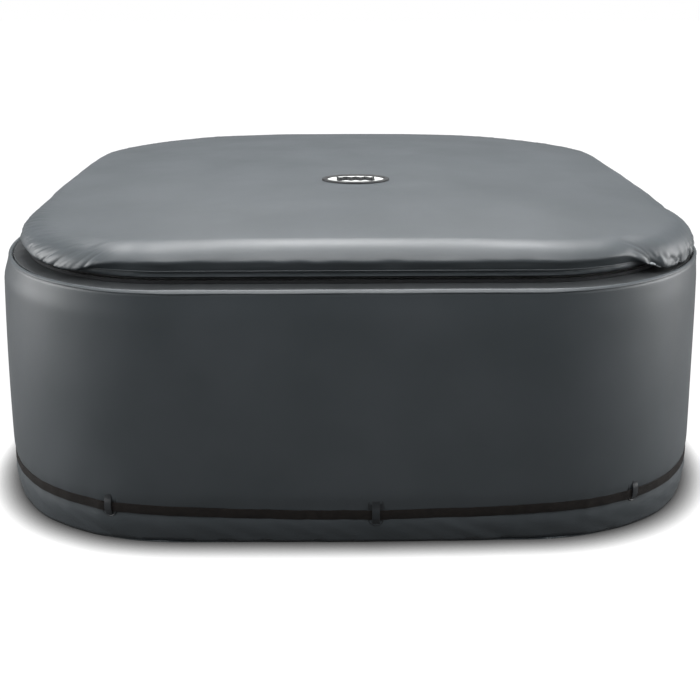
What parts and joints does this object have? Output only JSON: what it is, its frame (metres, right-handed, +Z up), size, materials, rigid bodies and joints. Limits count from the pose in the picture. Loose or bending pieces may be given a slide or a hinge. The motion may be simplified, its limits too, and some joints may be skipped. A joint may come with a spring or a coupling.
{
  "type": "spa cover",
  "caption": "Square cover for an inflatable spa: padded wall sleeve, crowned air-filled lid that zips on and hinges at the rear, and a webbing belt round the foot.",
  "frame": {"origin": "on the floor at the centre of the cover's footprint", "axes": "+Z up, -Y towards the front, +X to the right as seen from the front"},
  "size_m": [1.9394, 1.9464, 0.7798],
  "materials": {
    "coated_fabric": "dark blue-grey coated fabric, satin",
    "foil_liner": "silver foil-faced film, crinkled satin",
    "foam": "white closed-cell foam, matt",
    "bladder_film": "grey vinyl film, gloss",
    "zip_tape": "black woven tape",
    "zip_coil": "black nylon coil",
    "zip_metal": "black enamelled zip metal",
    "webbing": "brown-black woven webbing",
    "moulded_plastic": "dark grey moulded plastic, satin",
    "badge_rim": "black moulded plastic, gloss",
    "badge_field": "pale printed plastic, gloss",
    "valve_plastic": "light grey valve plastic"
  },
  "bodies": {
    "sleeve": {"wall_outer_shell": "coated_fabric", "wall_foam_front": "foam", "wall_foam_left": "foam", "wall_foam_rear": "foam", "wall_foam_right": "foam", "wall_foil_liner": "foil_liner", "hem_facing": "coated_fabric", "rim_piping": "coated_fabric", "rim_ledge": "coated_fabric", "zip_tape_lower": "zip_tape", "zip_coil_lower": "zip_coil", "zip_end_stops": "zip_metal", "belt_webbing": "webbing", "belt_keeper_patches": "moulded_plastic", "belt_keeper_bridges": "moulded_plastic", "buckle_female": "moulded_plastic"},
    "lid": {"lid_top_panel": "coated_fabric", "lid_side_band": "coated_fabric", "lid_seam_welt": "coated_fabric", "lid_underside_panel": "foil_liner", "lid_air_bladder": "bladder_film", "bladder_tie_webs": "bladder_film", "zip_tape_upper": "zip_tape", "zip_coil_upper": "zip_coil", "lid_hinge_band": "coated_fabric", "badge_rim": "badge_rim", "badge_field": "badge_field", "badge_waves": "badge_rim", "bladder_valve_body": "valve_plastic"},
    "buckle_insert": {"buckle_male": "moulded_plastic", "belt_free_end": "webbing"},
    "valve_cap": {"bladder_valve_cap": "valve_plastic"},
    "zip_slider_left": {"zip_slider_left": "zip_metal"},
    "zip_slider_right": {"zip_slider_right": "zip_metal"},
    "zip_pull_left": {"zip_pull_left": "zip_metal"},
    "zip_pull_right": {"zip_pull_right": "zip_metal"}
  },
  "joints": [
    {"name": "lid_hinge", "type": "hinge", "parent": "sleeve", "child": "lid", "pos_m": [0, 0.918, 0.664], "axis": [-1, 0, 0], "range_deg": [0, 105]},
    {"name": "buckle_release", "type": "slide", "parent": "sleeve", "child": "buckle_insert", "axis": [1, 0, 0], "range_m": [0, 0.03]},
    {"name": "valve_cap_hinge", "type": "hinge", "parent": "lid", "child": "valve_cap", "pos_m": [0.348, 0.52, 0.6774], "axis": [0, -1, 0], "range_deg": [0, 110]},
    {"name": "zip_slide_left", "type": "slide", "parent": "sleeve", "child": "zip_slider_left", "axis": [0, -1, 0], "range_m": [0, 0.7]},
    {"name": "zip_slide_right", "type": "slide", "parent": "sleeve", "child": "zip_slider_right", "axis": [0, -1, 0], "range_m": [0, 0.7]},
    {"name": "zip_pull_left_hinge", "type": "hinge", "parent": "zip_slider_left", "child": "zip_pull_left", "pos_m": [-0.8887, 0.34, 0.6685], "axis": [0, 0, 1], "range_deg": [0, 170]},
    {"name": "zip_pull_right_hinge", "type": "hinge", "parent": "zip_slider_right", "child": "zip_pull_right", "pos_m": [0.8887, 0.34, 0.6685], "axis": [0, 0, -1], "range_deg": [0, 170]}
  ]
}
